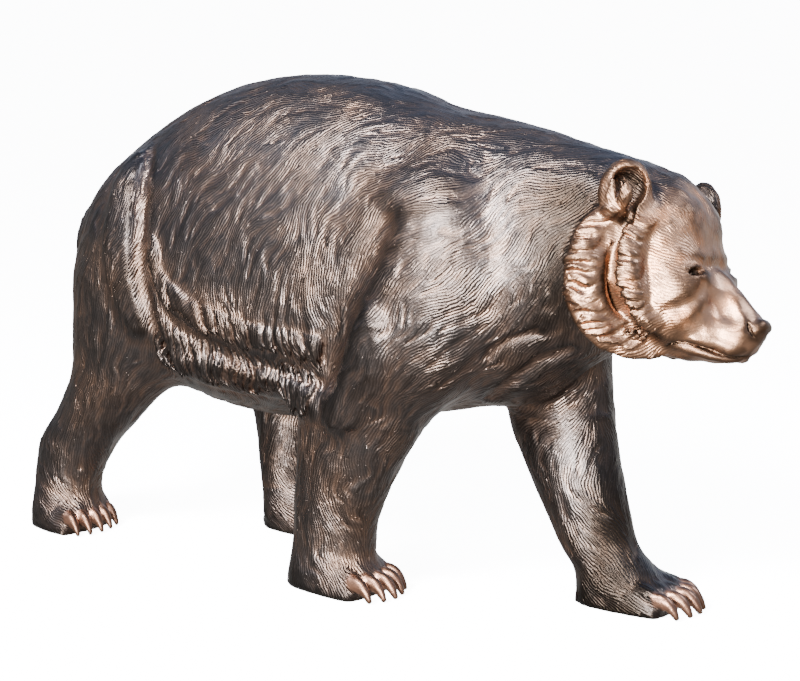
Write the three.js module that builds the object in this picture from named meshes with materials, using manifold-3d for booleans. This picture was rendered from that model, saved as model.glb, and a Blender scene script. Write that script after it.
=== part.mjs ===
// A life-size walking bear cast in bronze as one piece: +X is forward, +Y the bear's left, +Z up.
// All sizes are millimetres. Soles lie on z = 0. Every form is a closed loft, and the forms are
// joined into one solid.
import * as THREE from 'three';
import { mergeVertices } from 'three/addons/utils/BufferGeometryUtils.js';
import Module from 'manifold-3d';

const wasm = await Module();
wasm.setup();

const RIGHT = -1;
const LEFT = 1;

// Facets round a form and along it.
const SIDES = { torso: 20, limb: 12, mass: 12, head: 14, face: 8, ridge: 8, toe: 6 };
const STEPS = { torso: 16, limb: 9, head: 12, paw: 4, toe: 2, claw: 3, ridge: 6 };

// Torso and neck, in upright sections: [x, underside, back, half width, height of the widest place].
const TORSO = [
  [-760, 520, 832, 145, 690],
  [-670, 430, 925, 205, 690],
  [-560, 385, 1000, 250, 680],
  [-420, 350, 1072, 275, 660],
  [-260, 335, 1118, 290, 640],
  [-80, 345, 1133, 290, 650],
  [100, 370, 1118, 280, 680],
  [240, 402, 1080, 265, 700],
  [360, 432, 1064, 240, 720],
  [480, 455, 1045, 205, 750],
  [600, 540, 1020, 170, 780],
  [720, 620, 990, 140, 800],
];
const TORSO_DOMES = { rear: 85, front: 60 };

// Upper masses of shoulder and haunch: centre, half sizes, and lean forward in degrees.
const MASSES = [
  { centre: [300, 180, 715], half: [165, 105, 245], lean: 12, side: RIGHT },
  { centre: [380, 172, 720], half: [165, 100, 245], lean: -4, side: LEFT },
  { centre: [-572, 150, 655], half: [158, 112, 250], lean: 12, side: RIGHT },
  { centre: [-500, 150, 655], half: [165, 112, 250], lean: -12, side: LEFT },
];

// Legs, in level sections: [z, rear x, front x, inner y, outer y] from the top down to the paw.
const LEGS = {
  right_fore: {
    side: RIGHT,
    sections: [
      [700, 110, 410, 90, 270],
      [560, 30, 400, 75, 275],
      [440, -30, 320, 70, 265],
      [300, -42, 225, 80, 255],
      [180, -52, 165, 90, 246],
      [95, -55, 150, 90, 242],
      [40, -55, 150, 90, 242],
    ],
  },
  left_fore: {
    side: LEFT,
    sections: [
      [700, 230, 500, 90, 270],
      [560, 270, 540, 75, 265],
      [384, 312, 572, 62, 245],
      [270, 372, 600, 60, 232],
      [130, 455, 640, 62, 222],
      [70, 500, 680, 60, 220],
      [40, 520, 700, 60, 220],
    ],
  },
  right_hind: {
    side: RIGHT,
    sections: [
      [640, -722, -440, 60, 245],
      [500, -750, -420, 65, 258],
      [394, -765, -480, 80, 250],
      [300, -815, -570, 90, 245],
      [220, -875, -650, 95, 245],
      [125, -890, -710, 100, 248],
      [40, -885, -710, 95, 252],
    ],
  },
  left_hind: {
    side: LEFT,
    sections: [
      [640, -660, -390, 60, 240],
      [500, -610, -320, 65, 258],
      [400, -550, -290, 75, 245],
      [287, -465, -290, 85, 235],
      [122, -440, -295, 90, 230],
      [40, -425, -280, 85, 235],
    ],
  },
};
const LEG_DOME = 40;

// Paws: the sole's middle under the ankle, and which way the toes point.
const PAWS = {
  right_fore: { side: RIGHT, x: 20, y: 168, turn: 0, reach: 1.0 },
  left_fore: { side: LEFT, x: 606, y: 126, turn: 8, reach: 1.0 },
  right_hind: { side: RIGHT, x: -822, y: 184, turn: 2, reach: 0.74 },
  left_hind: { side: LEFT, x: -345, y: 160, turn: 3, reach: 0.9 },
};
// One paw, pointing along x: [x, half width, height] of the pad, and the five toes.
const PAD = [
  [-66, 54, 60],
  [-40, 70, 108],
  [20, 80, 118],
  [80, 84, 88],
  [125, 82, 62],
];
const PAD_WIDEST = 0.12;
const PAD_DOMES = { heel: 18, front: 22 };
// A toe is an arched finger, a claw a curved horn that starts inside it. Heights are off the
// ground; narrow and tall scale the radius across and upwards, taper is what the tip loses of it.
const TOE = { radius: 19, length: 58, knuckle: 54, drop: 8, tip: 32, start: 96 };
const TOE_SHAPE = { taper: 0.25, narrow: 0.92, domes: [8, 10] };
const TOE_OFFSETS = [-62, -32, 0, 31, 58];
const TOE_REACH = [-14, 4, 12, 6, -12];
const CLAW = { length: 54, root: 13.5, tip: 3.5, root_height: 40, tip_height: 5, arch: 8 };
const CLAW_SHAPE = { overlap: 16, thinning: 1.9, narrow: 0.85, tall: 1.1 };
// How far each toe strays sideways, as a share of its offset, from its start to the claw's tip.
const SPREAD = { start: 0.9, tip: 1.04, root: 1.03, middle: 1.06, end: 1.08 };

// Head before it is turned, in upright sections: [x, underside, top, half width, widest height].
const HEAD_TURN = { yaw: 3, roll: 10, pivot: [700, 0, 840] };
const SKULL = [
  [640, 650, 992, 118, 800],
  [710, 622, 986, 130, 790],
  [775, 606, 980, 134, 772],
  [822, 601, 964, 128, 752],
  [858, 601, 916, 116, 735],
  [888, 602, 866, 94, 715],
  [914, 603, 800, 64, 700],
  [942, 604, 774, 53, 682],
  [975, 606, 744, 46, 670],
  [1003, 620, 718, 40, 668],
  [1022, 648, 699, 30, 674],
];
const SKULL_DOMES = { back: 50, nose: 12 };
// Rounded swellings on both sides of the head: centre, half sizes, pitch in degrees.
const FACE = {
  forehead: { centre: [822, 45, 866], half: [54, 52, 60], pitch: 40 },
  brow: { centre: [862, 50, 814], half: [44, 34, 28], pitch: 42 },
  cheek: { centre: [855, 66, 732], half: [74, 52, 84], pitch: 20 },
  lip: { centre: [976, 22, 672], half: [38, 25, 33], pitch: 30 },
  ear_root: { centre: [762, 108, 892], half: [46, 34, 40], pitch: 0 },
  jaw: { centre: [906, 27, 627], half: [84, 28, 22], pitch: 0 },
  jowl: { centre: [890, 44, 676], half: [62, 34, 40], pitch: 20 },
};
const NOSE = { centre: [1023, 0, 682], half: [18, 28, 20], pitch: 38 };
// Ridges of long fur: [forward, beside, up] along each, half width on the skin, half depth off it.
// Two stand behind each cheek, from under the ear round to the throat.
const RUFFS = {
  inner: {
    points: [
      [806, 112, 872],
      [772, 134, 844],
      [768, 147, 800],
      [778, 147, 752],
      [798, 134, 700],
      [834, 100, 655],
    ],
    width: 31,
    depth: 24,
  },
  outer: {
    points: [
      [742, 122, 880],
      [706, 148, 832],
      [697, 160, 782],
      [702, 158, 722],
      [722, 138, 662],
      [768, 98, 628],
      [822, 62, 622],
    ],
    width: 33,
    depth: 26,
  },
};
// One hangs along each flank, from the haunch to the elbow.
const FLANK_FRINGE = {
  points: [
    [-400, 262, 680],
    [-366, 266, 615],
    [-258, 262, 560],
    [-137, 262, 528],
    [38, 258, 512],
    [137, 240, 512],
  ],
  width: 42,
  depth: 26,
};
const EAR = { half: [54, 25, 62], yaw: 24, pitch: -6 };
const EAR_CENTRES = { right: [756, 132, 928], left: [796, 138, 902] };
const EAR_DISH = { half: [38, 26, 43], out: 15, up: 4 };
const TAIL = { centre: [-838, 0, 640], half: [34, 42, 80], pitch: -14 };
// A ridge's thickness at its ends, as a share of its middle's.
const RIDGE_ENDS = 0.55;
// What is cut away below the ground, so that the soles are flat.
const GROUND = { length: 3000, width: 1200, depth: 400 };

function interpolate(stations, at) {
  const last = stations.length - 1;
  const position = THREE.MathUtils.clamp(at, 0, 1) * last;
  const index = Math.min(Math.floor(position), last - 1);
  const local = position - index;
  const before = stations[Math.max(index - 1, 0)];
  const from = stations[index];
  const to = stations[index + 1];
  const after = stations[Math.min(index + 2, last)];
  return from.map((value, column) => {
    const leave = (to[column] - before[column]) / 2;
    const arrive = (after[column] - value) / 2;
    const change = value - to[column];
    const cubic = 2 * change + leave + arrive;
    const square = -3 * change - 2 * leave - arrive;
    return ((cubic * local + square) * local + leave) * local + value;
  });
}

// A ring of points: `up` and `down` may differ, so a section can be fuller below than above.
function ring(centre, across, up, down, sides) {
  return Array.from({ length: sides }, (_, index) => {
    const angle = (2 * Math.PI * index) / sides;
    const vertical = Math.sin(angle) >= 0 ? up : down;
    return centre
      .clone()
      .addScaledVector(across, Math.cos(angle))
      .addScaledVector(vertical, Math.abs(Math.sin(angle)));
  });
}

// Joins rings of equal length into a closed skin with a point at each end.
function skin(rings) {
  const sides = rings[0].length;
  const middle = (points) =>
    points.reduce((sum, point) => sum.add(point), new THREE.Vector3()).divideScalar(sides);
  const points = [...rings.flat(), middle(rings[0]), middle(rings[rings.length - 1])];
  const faces = [];
  const startPole = rings.length * sides;
  const endPole = startPole + 1;
  for (let index = 0; index < sides; index += 1) {
    const next = (index + 1) % sides;
    for (let row = 0; row < rings.length - 1; row += 1) {
      const low = row * sides;
      const high = low + sides;
      faces.push(low + index, low + next, high + next, low + index, high + next, high + index);
    }
    const lastRow = startPole - sides;
    faces.push(startPole, next, index, endPole, lastRow + index, lastRow + next);
  }
  const geometry = new THREE.BufferGeometry().setFromPoints(points);
  geometry.setIndex(faces);
  return geometry;
}

// Rounds the two ends of a row of rings off with smaller rings.
function domed(sections, rings, startLength, endLength) {
  const cap = (section, length, direction) =>
    Array.from({ length: rings }, (_, index) => {
      const angle = ((index + 1) / (rings + 0.35)) * (Math.PI / 2);
      const centre = section.centre.clone();
      centre.addScaledVector(direction, length * Math.sin(angle));
      const scaled = (vector) => vector.clone().multiplyScalar(Math.cos(angle));
      return { centre, across: scaled(section.across), up: scaled(section.up), down: scaled(section.down) };
    });
  const first = sections[0];
  const last = sections[sections.length - 1];
  const outward = (end, inner) => end.centre.clone().sub(inner.centre).normalize();
  return [
    ...cap(first, startLength, outward(first, sections[1])).reverse(),
    ...sections,
    ...cap(last, endLength, outward(last, sections[sections.length - 2])),
  ];
}

function loft(sections, sides, startLength = 0, endLength = 0) {
  const rings = sides > SIDES.ridge ? 2 : 1;
  const rows = startLength > 0 ? domed(sections, rings, startLength, endLength) : sections;
  return solid(skin(rows.map((row) => ring(row.centre, row.across, row.up, row.down, sides))));
}

function sampled(stations, steps, place) {
  return Array.from({ length: steps + 1 }, (_, index) => place(interpolate(stations, index / steps)));
}

// A closed geometry becomes a solid; a skin that came out inside out is turned first.
function solid(source) {
  const geometry = source.clone();
  geometry.deleteAttribute('normal');
  geometry.deleteAttribute('uv');
  const merged = mergeVertices(geometry, 1e-4);
  const points = merged.attributes.position.array;
  const faces = Uint32Array.from(merged.index.array);
  if (signedVolume(points, faces) < 0) {
    for (let index = 0; index < faces.length; index += 3) {
      [faces[index], faces[index + 1]] = [faces[index + 1], faces[index]];
    }
  }
  return new wasm.Manifold(
    new wasm.Mesh({ numProp: 3, vertProperties: Float32Array.from(points), triVerts: faces }),
  );
}

function signedVolume(points, faces) {
  const corner = (index) => new THREE.Vector3().fromArray(points, 3 * index);
  let volume = 0;
  for (let index = 0; index < faces.length; index += 3) {
    const [a, b, c] = [0, 1, 2].map((offset) => corner(faces[index + offset]));
    volume += a.dot(b.cross(c)) / 6;
  }
  return volume;
}

function ellipsoid(centre, half, turn, sides) {
  const geometry = new THREE.SphereGeometry(1, sides, Math.ceil(sides / 2));
  const matrix = new THREE.Matrix4().compose(
    new THREE.Vector3(...centre),
    new THREE.Quaternion().setFromEuler(turn),
    new THREE.Vector3(...half),
  );
  return solid(geometry.applyMatrix4(matrix));
}

function join(solids) {
  return solids.reduce((whole, next) => whole.add(next));
}

function upright([x, under, top, half, widest]) {
  return {
    centre: new THREE.Vector3(x, 0, widest),
    across: new THREE.Vector3(0, half, 0),
    up: new THREE.Vector3(0, 0, top - widest),
    down: new THREE.Vector3(0, 0, under - widest),
  };
}

function torso() {
  const sections = sampled(TORSO, STEPS.torso, upright);
  return loft(sections, SIDES.torso, TORSO_DOMES.rear, TORSO_DOMES.front);
}

function mass({ centre: [x, y, z], half, lean, side }) {
  const turn = new THREE.Euler(0, THREE.MathUtils.degToRad(lean), 0);
  return ellipsoid([x, side * y, z], half, turn, SIDES.mass);
}

function leg({ side, sections }) {
  const place = ([z, rear, front, inner, outer]) => ({
    centre: new THREE.Vector3((rear + front) / 2, (side * (inner + outer)) / 2, z),
    across: new THREE.Vector3(0, (outer - inner) / 2, 0),
    up: new THREE.Vector3((front - rear) / 2, 0, 0),
    down: new THREE.Vector3((rear - front) / 2, 0, 0),
  });
  return loft(sampled(sections, STEPS.limb, place), SIDES.limb, LEG_DOME, LEG_DOME);
}

function pad() {
  const place = ([x, half, height]) => ({
    centre: new THREE.Vector3(x, 0, height * PAD_WIDEST),
    across: new THREE.Vector3(0, half, 0),
    up: new THREE.Vector3(0, 0, height * (1 - PAD_WIDEST)),
    down: new THREE.Vector3(0, 0, -height / 2),
  });
  return loft(sampled(PAD, STEPS.paw, place), SIDES.limb, PAD_DOMES.heel, PAD_DOMES.front);
}

function toe(offset, reach) {
  const start = TOE.start + reach;
  const path = new THREE.QuadraticBezierCurve3(
    new THREE.Vector3(start, offset * SPREAD.start, TOE.knuckle - TOE.drop),
    new THREE.Vector3(start + TOE.length / 2, offset, TOE.knuckle),
    new THREE.Vector3(start + TOE.length, offset * SPREAD.tip, TOE.tip),
  );
  const sections = Array.from({ length: STEPS.toe + 1 }, (_, index) => {
    const at = index / STEPS.toe;
    const radius = TOE.radius * (1 - TOE_SHAPE.taper * at * at);
    const upward = new THREE.Vector3(0, 0, radius);
    return {
      centre: path.getPoint(at),
      across: new THREE.Vector3(0, radius * TOE_SHAPE.narrow, 0),
      up: upward,
      down: upward.clone().negate(),
    };
  });
  return loft(sections, SIDES.toe, ...TOE_SHAPE.domes);
}

function claw(offset, reach) {
  const start = TOE.start + reach + TOE.length - CLAW_SHAPE.overlap;
  const path = new THREE.QuadraticBezierCurve3(
    new THREE.Vector3(start, offset * SPREAD.root, CLAW.root_height),
    new THREE.Vector3(
      start + CLAW.length * 0.6,
      offset * SPREAD.middle,
      CLAW.root_height + CLAW.arch,
    ),
    new THREE.Vector3(start + CLAW.length, offset * SPREAD.end, CLAW.tip_height),
  );
  const sections = Array.from({ length: STEPS.claw + 1 }, (_, index) => {
    const at = index / STEPS.claw;
    const radius = THREE.MathUtils.lerp(CLAW.root, CLAW.tip, at ** CLAW_SHAPE.thinning);
    const tangent = path.getTangent(at);
    const normal = new THREE.Vector3(-tangent.z, 0, tangent.x);
    const upward = normal.multiplyScalar(radius * CLAW_SHAPE.tall);
    return {
      centre: path.getPoint(at),
      across: new THREE.Vector3(0, radius * CLAW_SHAPE.narrow, 0),
      up: upward,
      down: upward.clone().negate(),
    };
  });
  return loft(sections, SIDES.toe);
}

function paw({ side, x, y, turn, reach }) {
  const whole = join([
    pad(),
    ...TOE_OFFSETS.map((offset, index) => toe(offset, TOE_REACH[index])),
    ...TOE_OFFSETS.map((offset, index) => claw(offset, TOE_REACH[index])),
  ]);
  const matrix = new THREE.Matrix4().makeRotationZ(THREE.MathUtils.degToRad(side * turn));
  matrix.scale(new THREE.Vector3(reach, side, 1)).setPosition(x, side * y, 0);
  return moved(whole, matrix);
}

function moved(whole, matrix) {
  return solid(asGeometry(whole).applyMatrix4(matrix));
}

function asGeometry(whole) {
  const mesh = whole.getMesh();
  const geometry = new THREE.BufferGeometry();
  geometry.setAttribute('position', new THREE.BufferAttribute(mesh.vertProperties, 3));
  geometry.setIndex(new THREE.BufferAttribute(mesh.triVerts, 1));
  return geometry;
}

function skull() {
  const sections = sampled(SKULL, STEPS.head, upright);
  return loft(sections, SIDES.head, SKULL_DOMES.back, SKULL_DOMES.nose);
}

function swelling({ centre: [x, y, z], half, pitch }, side) {
  const turn = new THREE.Euler(0, THREE.MathUtils.degToRad(pitch), 0);
  return ellipsoid([x, side * y, z], half, turn, SIDES.face);
}

// A ridge that follows a curve over one side, wide on the skin and thin off it.
function ridge({ points, width, depth }, side) {
  const route = points.map(([x, y, z]) => new THREE.Vector3(x, side * y, z));
  const path = new THREE.CatmullRomCurve3(route);
  const sections = Array.from({ length: STEPS.ridge + 1 }, (_, index) => {
    const at = index / STEPS.ridge;
    const outward = new THREE.Vector3(0, side, 0);
    const across = new THREE.Vector3().crossVectors(path.getTangent(at), outward).normalize();
    const taper = THREE.MathUtils.lerp(RIDGE_ENDS, 1, Math.sin(Math.PI * at));
    return {
      centre: path.getPoint(at),
      across: across.multiplyScalar(width * taper),
      up: outward.clone().multiplyScalar(depth * taper),
      down: outward.clone().multiplyScalar(-depth * taper),
    };
  });
  return loft(sections, SIDES.ridge, width / 2, width / 2);
}

function ear(side) {
  const [x, y, z] = side === RIGHT ? EAR_CENTRES.right : EAR_CENTRES.left;
  const degrees = THREE.MathUtils.degToRad;
  const turn = new THREE.Euler(degrees(-side * EAR.pitch), 0, degrees(-side * EAR.yaw));
  const centre = new THREE.Vector3(x, side * y, z);
  const out = new THREE.Vector3(0, side * EAR_DISH.out, EAR_DISH.up).applyEuler(turn);
  const shell = ellipsoid(centre.toArray(), EAR.half, turn, SIDES.mass);
  const dish = ellipsoid(centre.clone().add(out).toArray(), EAR_DISH.half, turn, SIDES.mass);
  return shell.subtract(dish);
}

function headTurn() {
  const { yaw, roll, pivot } = HEAD_TURN;
  const toPivot = new THREE.Matrix4().makeTranslation(...pivot);
  const turn = new THREE.Matrix4().makeRotationFromEuler(
    new THREE.Euler(THREE.MathUtils.degToRad(-roll), 0, THREE.MathUtils.degToRad(yaw)),
  );
  return toPivot.clone().multiply(turn).multiply(toPivot.clone().invert());
}

function head() {
  const pairs = [LEFT, RIGHT].flatMap((side) => [
    ...Object.values(FACE).map((shape) => swelling(shape, side)),
    ...Object.values(RUFFS).map((shape) => ridge(shape, side)),
    ear(side),
  ]);
  return moved(join([skull(), swelling(NOSE, 0), ...pairs]), headTurn());
}

const forms = [
  torso(),
  ...MASSES.map(mass),
  ...Object.values(LEGS).map(leg),
  ...Object.values(PAWS).map(paw),
  ...[LEFT, RIGHT].map((side) => ridge(FLANK_FRINGE, side)),
  swelling(TAIL, 0),
  head(),
];
const ground = new THREE.BoxGeometry(GROUND.length, GROUND.width, GROUND.depth);
const block = solid(ground.translate(0, 0, -GROUND.depth / 2));
const bear = join(forms).subtract(block);

const bronze = new THREE.MeshStandardMaterial({ color: 0x4a403c, roughness: 0.42, metalness: 1 });
const mesh = new THREE.Mesh(asGeometry(bear), bronze);
mesh.name = 'bear';
const box = new THREE.Box3().setFromObject(mesh);
const middle = box.getCenter(new THREE.Vector3());
mesh.position.set(-middle.x, -middle.y, -box.min.z);

const group = new THREE.Group();
group.add(mesh);
export default group;
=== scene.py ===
"""A life-size walking bear, cast in bronze as one piece, with its fur worked into the surface.

The figure is modelled as a sculptor works clay: lofted masses are pressed together, creases are
scooped out, and locks of fur are laid on in rows. The skin is then combed: a field of hair
directions is blended from a few listed ones, and tufts are raised along it. The result is one
closed casting. Shapes are worked out in millimetres in the frame that the CAD part is modelled in,
and become metres at the end.
"""

import math

import bpy
import numpy as np
import openvdb
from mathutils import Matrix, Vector


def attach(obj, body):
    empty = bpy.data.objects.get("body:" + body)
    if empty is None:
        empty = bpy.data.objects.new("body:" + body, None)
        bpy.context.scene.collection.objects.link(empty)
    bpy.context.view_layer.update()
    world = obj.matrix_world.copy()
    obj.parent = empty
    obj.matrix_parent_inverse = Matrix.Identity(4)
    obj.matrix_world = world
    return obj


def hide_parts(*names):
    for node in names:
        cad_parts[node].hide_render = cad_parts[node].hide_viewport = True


bl_info = {
    "name": "Bronze Bear",
    "version": (1, 0, 0),
    "blender": (4, 5, 0),
    "location": "3D View > Sidebar > Bronze Bear",
    "description": "Builds a walking bear cast in bronze, with combed fur and a rubbed patina",
    "category": "Object",
}

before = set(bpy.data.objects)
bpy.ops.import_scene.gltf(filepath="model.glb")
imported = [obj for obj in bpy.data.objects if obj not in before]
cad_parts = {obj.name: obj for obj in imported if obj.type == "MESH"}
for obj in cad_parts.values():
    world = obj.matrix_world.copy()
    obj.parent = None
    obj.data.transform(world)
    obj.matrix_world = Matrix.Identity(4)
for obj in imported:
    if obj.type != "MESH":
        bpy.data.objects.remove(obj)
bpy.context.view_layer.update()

MM = 0.001
RIGHT, LEFT = -1, 1
# Where the middle of the overall box stands in the modelling frame, forward of its zero.
DATUM = np.array([75.67, 0.0, 0.0])

# Blocks of space that parts are modelled in, as low and high corners, a paw's from the spot under
# its ankle. The face's is the part of the head's that holds the dark lines.
BODY_BLOCK = ([-980, -360, -60], [1090, 360, 1210])
HEAD_BLOCK = ([560, -230, 520], [1080, 230, 1080])
FACE_BLOCK = ([675, -225, 535], [1085, 225, 1045])
PAW_BLOCK = ([-150, -150, -60], [290, 150, 170])
# How close to a block's faces its distances are still read.
BLOCK_EDGE = 5
# How far from the skin each block keeps distances. No blend is wider.
BODY_REACH, HEAD_REACH, PAW_REACH = 66, 44, 34
# Widths over which the creases between parts are filled.
BLENDS = {
    "torso": 10, "mass": 66, "leg": 60, "head": 36, "paw": 30, "claws": 3,
    "skull": 10, "ruff": 12, "ear": 12, "ear_dish": 6, "socket": 4,
    "eyeball": 1.5, "pad": 10, "toe": 12, "claw": 1, "lock": 2.5,
}
# Triangles that the casting is thinned to.
TRIANGLES = 196000
# Tufts raised on the fur: cell, half length, half width, seed, and their share of the relief.
TUFTS = [(52, 72, 15, 7, 1.0), (32, 44, 9, 8, 0.5)]
# Their places come from a table that each cell of space picks a row of, by these multipliers.
TUFT_ROWS = 4096
TUFT_PICKS = (73856093, 19349663, 83492791)
# Rounds of averaging that fine and broad hollows are measured against.
HOLLOWS = {"hollow": 6, "broad_hollow": 30}
# Strands of hair in the bronze's texture: how many keep one direction, how far they waver and how
# deep they are tooled, in metres. Real ones are about 1 mm wide, too fine to show, so these are
# drawn as wide as they need to be.
STRANDS_A_LOCK = 5
STRAND_SWAY = 0.01
STRAND_DEPTH = 0.0009

# Torso and neck, in upright sections: x, underside, back, half width, height of the widest place.
TORSO = [
    [-760, 520, 832, 145, 690], [-670, 430, 925, 205, 690], [-560, 385, 1000, 250, 680],
    [-420, 350, 1072, 275, 660], [-260, 335, 1118, 290, 640], [-80, 345, 1133, 290, 650],
    [100, 370, 1118, 280, 680], [240, 402, 1080, 265, 700], [360, 432, 1064, 240, 720],
    [480, 455, 1045, 205, 750], [600, 540, 1020, 170, 780], [720, 620, 990, 140, 800],
]
TORSO_DOMES = (85, 60)

# Upper masses of shoulder and haunch: centre, half sizes, lean forward in degrees, side.
MASSES = [
    ([300, 180, 715], [165, 105, 245], 12, RIGHT), ([380, 172, 720], [165, 100, 245], -4, LEFT),
    ([-572, 150, 655], [158, 112, 250], 12, RIGHT),
    ([-500, 150, 655], [165, 112, 250], -12, LEFT),
]

# Legs, in level sections from the top down: z, rear x, front x, inner y, outer y.
LEGS = {
    "right_fore": (RIGHT, [
        [700, 110, 410, 90, 270], [560, 30, 400, 75, 275], [440, -30, 320, 70, 265],
        [300, -42, 225, 80, 255], [180, -52, 165, 90, 246], [95, -55, 150, 90, 242],
        [40, -55, 150, 90, 242],
    ]),
    "left_fore": (LEFT, [
        [700, 230, 500, 90, 270], [560, 270, 540, 75, 265], [384, 312, 572, 62, 245],
        [270, 372, 600, 60, 232], [130, 455, 640, 62, 222], [70, 500, 680, 60, 220],
        [40, 520, 700, 60, 220],
    ]),
    "right_hind": (RIGHT, [
        [640, -722, -440, 60, 245], [500, -750, -420, 65, 258], [394, -765, -480, 80, 250],
        [300, -815, -570, 90, 245], [220, -875, -650, 95, 245], [125, -890, -710, 100, 248],
        [40, -885, -710, 95, 252],
    ]),
    "left_hind": (LEFT, [
        [640, -660, -390, 60, 240], [500, -610, -320, 65, 258], [400, -550, -290, 75, 245],
        [287, -465, -290, 85, 235], [122, -440, -295, 90, 230], [40, -425, -280, 85, 235],
    ]),
}
LEG_DOME = 40

# Paws: side, the sole's middle under the ankle, turn outwards in degrees, stretch along the paw.
PAWS = {
    "right_fore": (RIGHT, 20, 168, 0, 1.0),
    "left_fore": (LEFT, 606, 126, 8, 1.0),
    "right_hind": (RIGHT, -822, 184, 2, 0.74),
    "left_hind": (LEFT, -345, 160, 3, 0.9),
}
# One paw, pointing along x: x, half width, height.
PAD = [
    [-66, 54, 60], [-40, 70, 108], [20, 80, 118], [80, 84, 88], [125, 82, 62],
]
PAD_WIDEST = 0.12
PAD_DOMES = (18, 22)
TOE = {"radius": 19, "length": 58, "knuckle": 54, "tip": 32, "start": 96}
TOE_OFFSETS = [-62, -32, 0, 31, 58]
TOE_REACH = [-14, 4, 12, 6, -12]
CLAW = {"length": 54, "root": 16, "tip": 5.5, "root_height": 40, "tip_height": 5, "arch": 8}

# Head before it is turned, in upright sections like the torso's.
HEAD_YAW, HEAD_ROLL, HEAD_PIVOT = 3, 10, np.array([700.0, 0.0, 840.0])
SKULL = [
    [640, 650, 992, 118, 800], [710, 622, 986, 130, 790], [775, 606, 980, 134, 772],
    [822, 601, 964, 128, 752], [858, 601, 916, 116, 735], [888, 602, 866, 94, 715],
    [914, 603, 800, 64, 700], [942, 604, 774, 53, 682], [975, 606, 744, 46, 670],
    [1003, 620, 718, 40, 668], [1022, 648, 699, 30, 674],
]
SKULL_DOMES = (50, 12)
# Swellings on both sides of the head: centre, half sizes, pitch in degrees, blend width.
FACE = {
    "forehead": ([822, 45, 866], [54, 52, 60], 40, 40),
    "brow": ([862, 50, 814], [44, 34, 28], 42, 20),
    "cheek": ([855, 66, 732], [74, 52, 84], 20, 30),
    "lip": ([976, 22, 672], [38, 25, 33], 30, 16),
    "ear_root": ([762, 108, 892], [46, 34, 40], 0, 30),
    "jaw": ([906, 27, 627], [84, 28, 22], 0, 18),
    "jowl": ([890, 44, 676], [62, 34, 40], 20, 30),
}
NOSE = ([1023, 0, 682], [18, 28, 20], 38, 6)
# Ruffs on both sides: the crest, half width, half thickness.
RUFFS = {
    "inner": (
        [[824, 106, 876], [792, 130, 846], [786, 143, 800], [794, 143, 752], [812, 130, 700],
         [844, 98, 658]],
        32, 17,
    ),
    "outer": (
        [[748, 122, 884], [710, 148, 836], [701, 161, 784], [706, 159, 722], [728, 138, 662],
         [774, 98, 628], [826, 62, 622]],
        44, 15,
    ),
}
EAR_HALF, EAR_YAW, EAR_PITCH = [54, 25, 64], 24, -6
EAR_CENTRES = {RIGHT: [756, 132, 928], LEFT: [796, 138, 902]}
EAR_DISH, EAR_DISH_OUT = [36, 27, 42], [7, 14, 5]
TAIL = ([-838, 0, 640], [34, 42, 80], -14, 40)

# Creases scooped from both sides of the face: points near the skin, half width, half depth, blend.
FACE_CREASES = {
    "mouth": (
        [[852, 60, 632], [878, 62, 647], [939, 52, 630], [980, 36, 620], [1006, 10, 624]],
        3.6, 9, 2,
    ),
    "nostril": ([[1003, 25, 690], [1009, 28, 678], [1022, 25, 664]], 3.4, 9, 2),
    "between_ruffs": (
        [[778, 124, 884], [758, 150, 848], [749, 158, 800], [755, 160, 745], [771, 148, 695],
         [801, 124, 652], [841, 100, 634]],
        13, 13, 8,
    ),
    "under_cheek": ([[926, 74, 754], [918, 84, 732], [897, 98, 712], [866, 110, 697]], 6, 4, 20),
    "stop": ([[880, 76, 788], [900, 50, 791], [912, 24, 797], [915, 0, 800]], 9, 9, 14),
    "muzzle_side": ([[936, 52, 742], [962, 46, 712], [985, 40, 690]], 12, 6, 18),
}
# Rolls pressed on both sides of the face.
FACE_ROLLS = {
    "upper_lip": ([[900, 62, 655], [939, 54, 647], [975, 42, 640], [996, 20, 644]], 8, 4, 10),
    "lower_lip": ([[872, 58, 632], [939, 46, 618], [975, 32, 609], [994, 12, 613]], 7, 4, 8),
}
# Eye sockets: place, half sizes, turn in degrees, the radius of the ball behind each and how deep
# its middle lies, and how far the dark patina reaches.
EYE = {
    "at": [910, 76, 782], "socket": [30, 18, 9], "pitch": -24, "yaw": 32,
    "ball": 5, "sunk": 24, "shade": 16,
}
# How far the dark patina reaches from the first three creases, in their order.
DARK_REACH = [8, 8, 18]
RUFF_TILT = 0.4
# How far off the skin a row of locks is held before it is let down onto it.
CLEARANCE = 22
ROUTE_STEPS = 24
# Seeds of the first row of locks on the head and on the body.
HEAD_SEED, BODY_SEED = 0, 10
# How far from a lock distances are measured.
LOCK_REACH = 24
# How much the locks of a row differ: place, as a share of their spacing, and length and bend, as
# shares of their length.
LOCK_SLIDE, LOCK_LENGTHS, LOCK_BEND = 0.35, (-0.08, 0.06), 0.06

# Rows of locks on both sides: where they root, where they end, count, half width, half thickness.
HEAD_LOCKS = {
    "outer_ruff": (
        [[764, 128, 890], [742, 150, 850], [734, 158, 800], [740, 160, 745], [756, 150, 695],
         [786, 128, 650], [830, 98, 626]],
        [[716, 130, 888], [678, 156, 832], [660, 170, 782], [662, 170, 732], [676, 160, 686],
         [710, 138, 636], [782, 100, 598]],
        30, 6.2, 7,
    ),
    "inner_ruff": (
        [[836, 104, 884], [828, 118, 846], [816, 124, 800], [820, 124, 760], [832, 120, 716],
         [852, 108, 690], [872, 96, 668]],
        [[784, 126, 884], [761, 150, 846], [753, 158, 800], [759, 158, 746], [775, 150, 698],
         [805, 126, 656], [846, 100, 638]],
        28, 6.2, 7,
    ),
    "ear_fur": (
        [[748, 140, 894], [764, 140, 894], [782, 140, 900]],
        [[738, 140, 944], [764, 140, 950], [780, 140, 934]],
        8, 5, 5,
    ),
}
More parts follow.
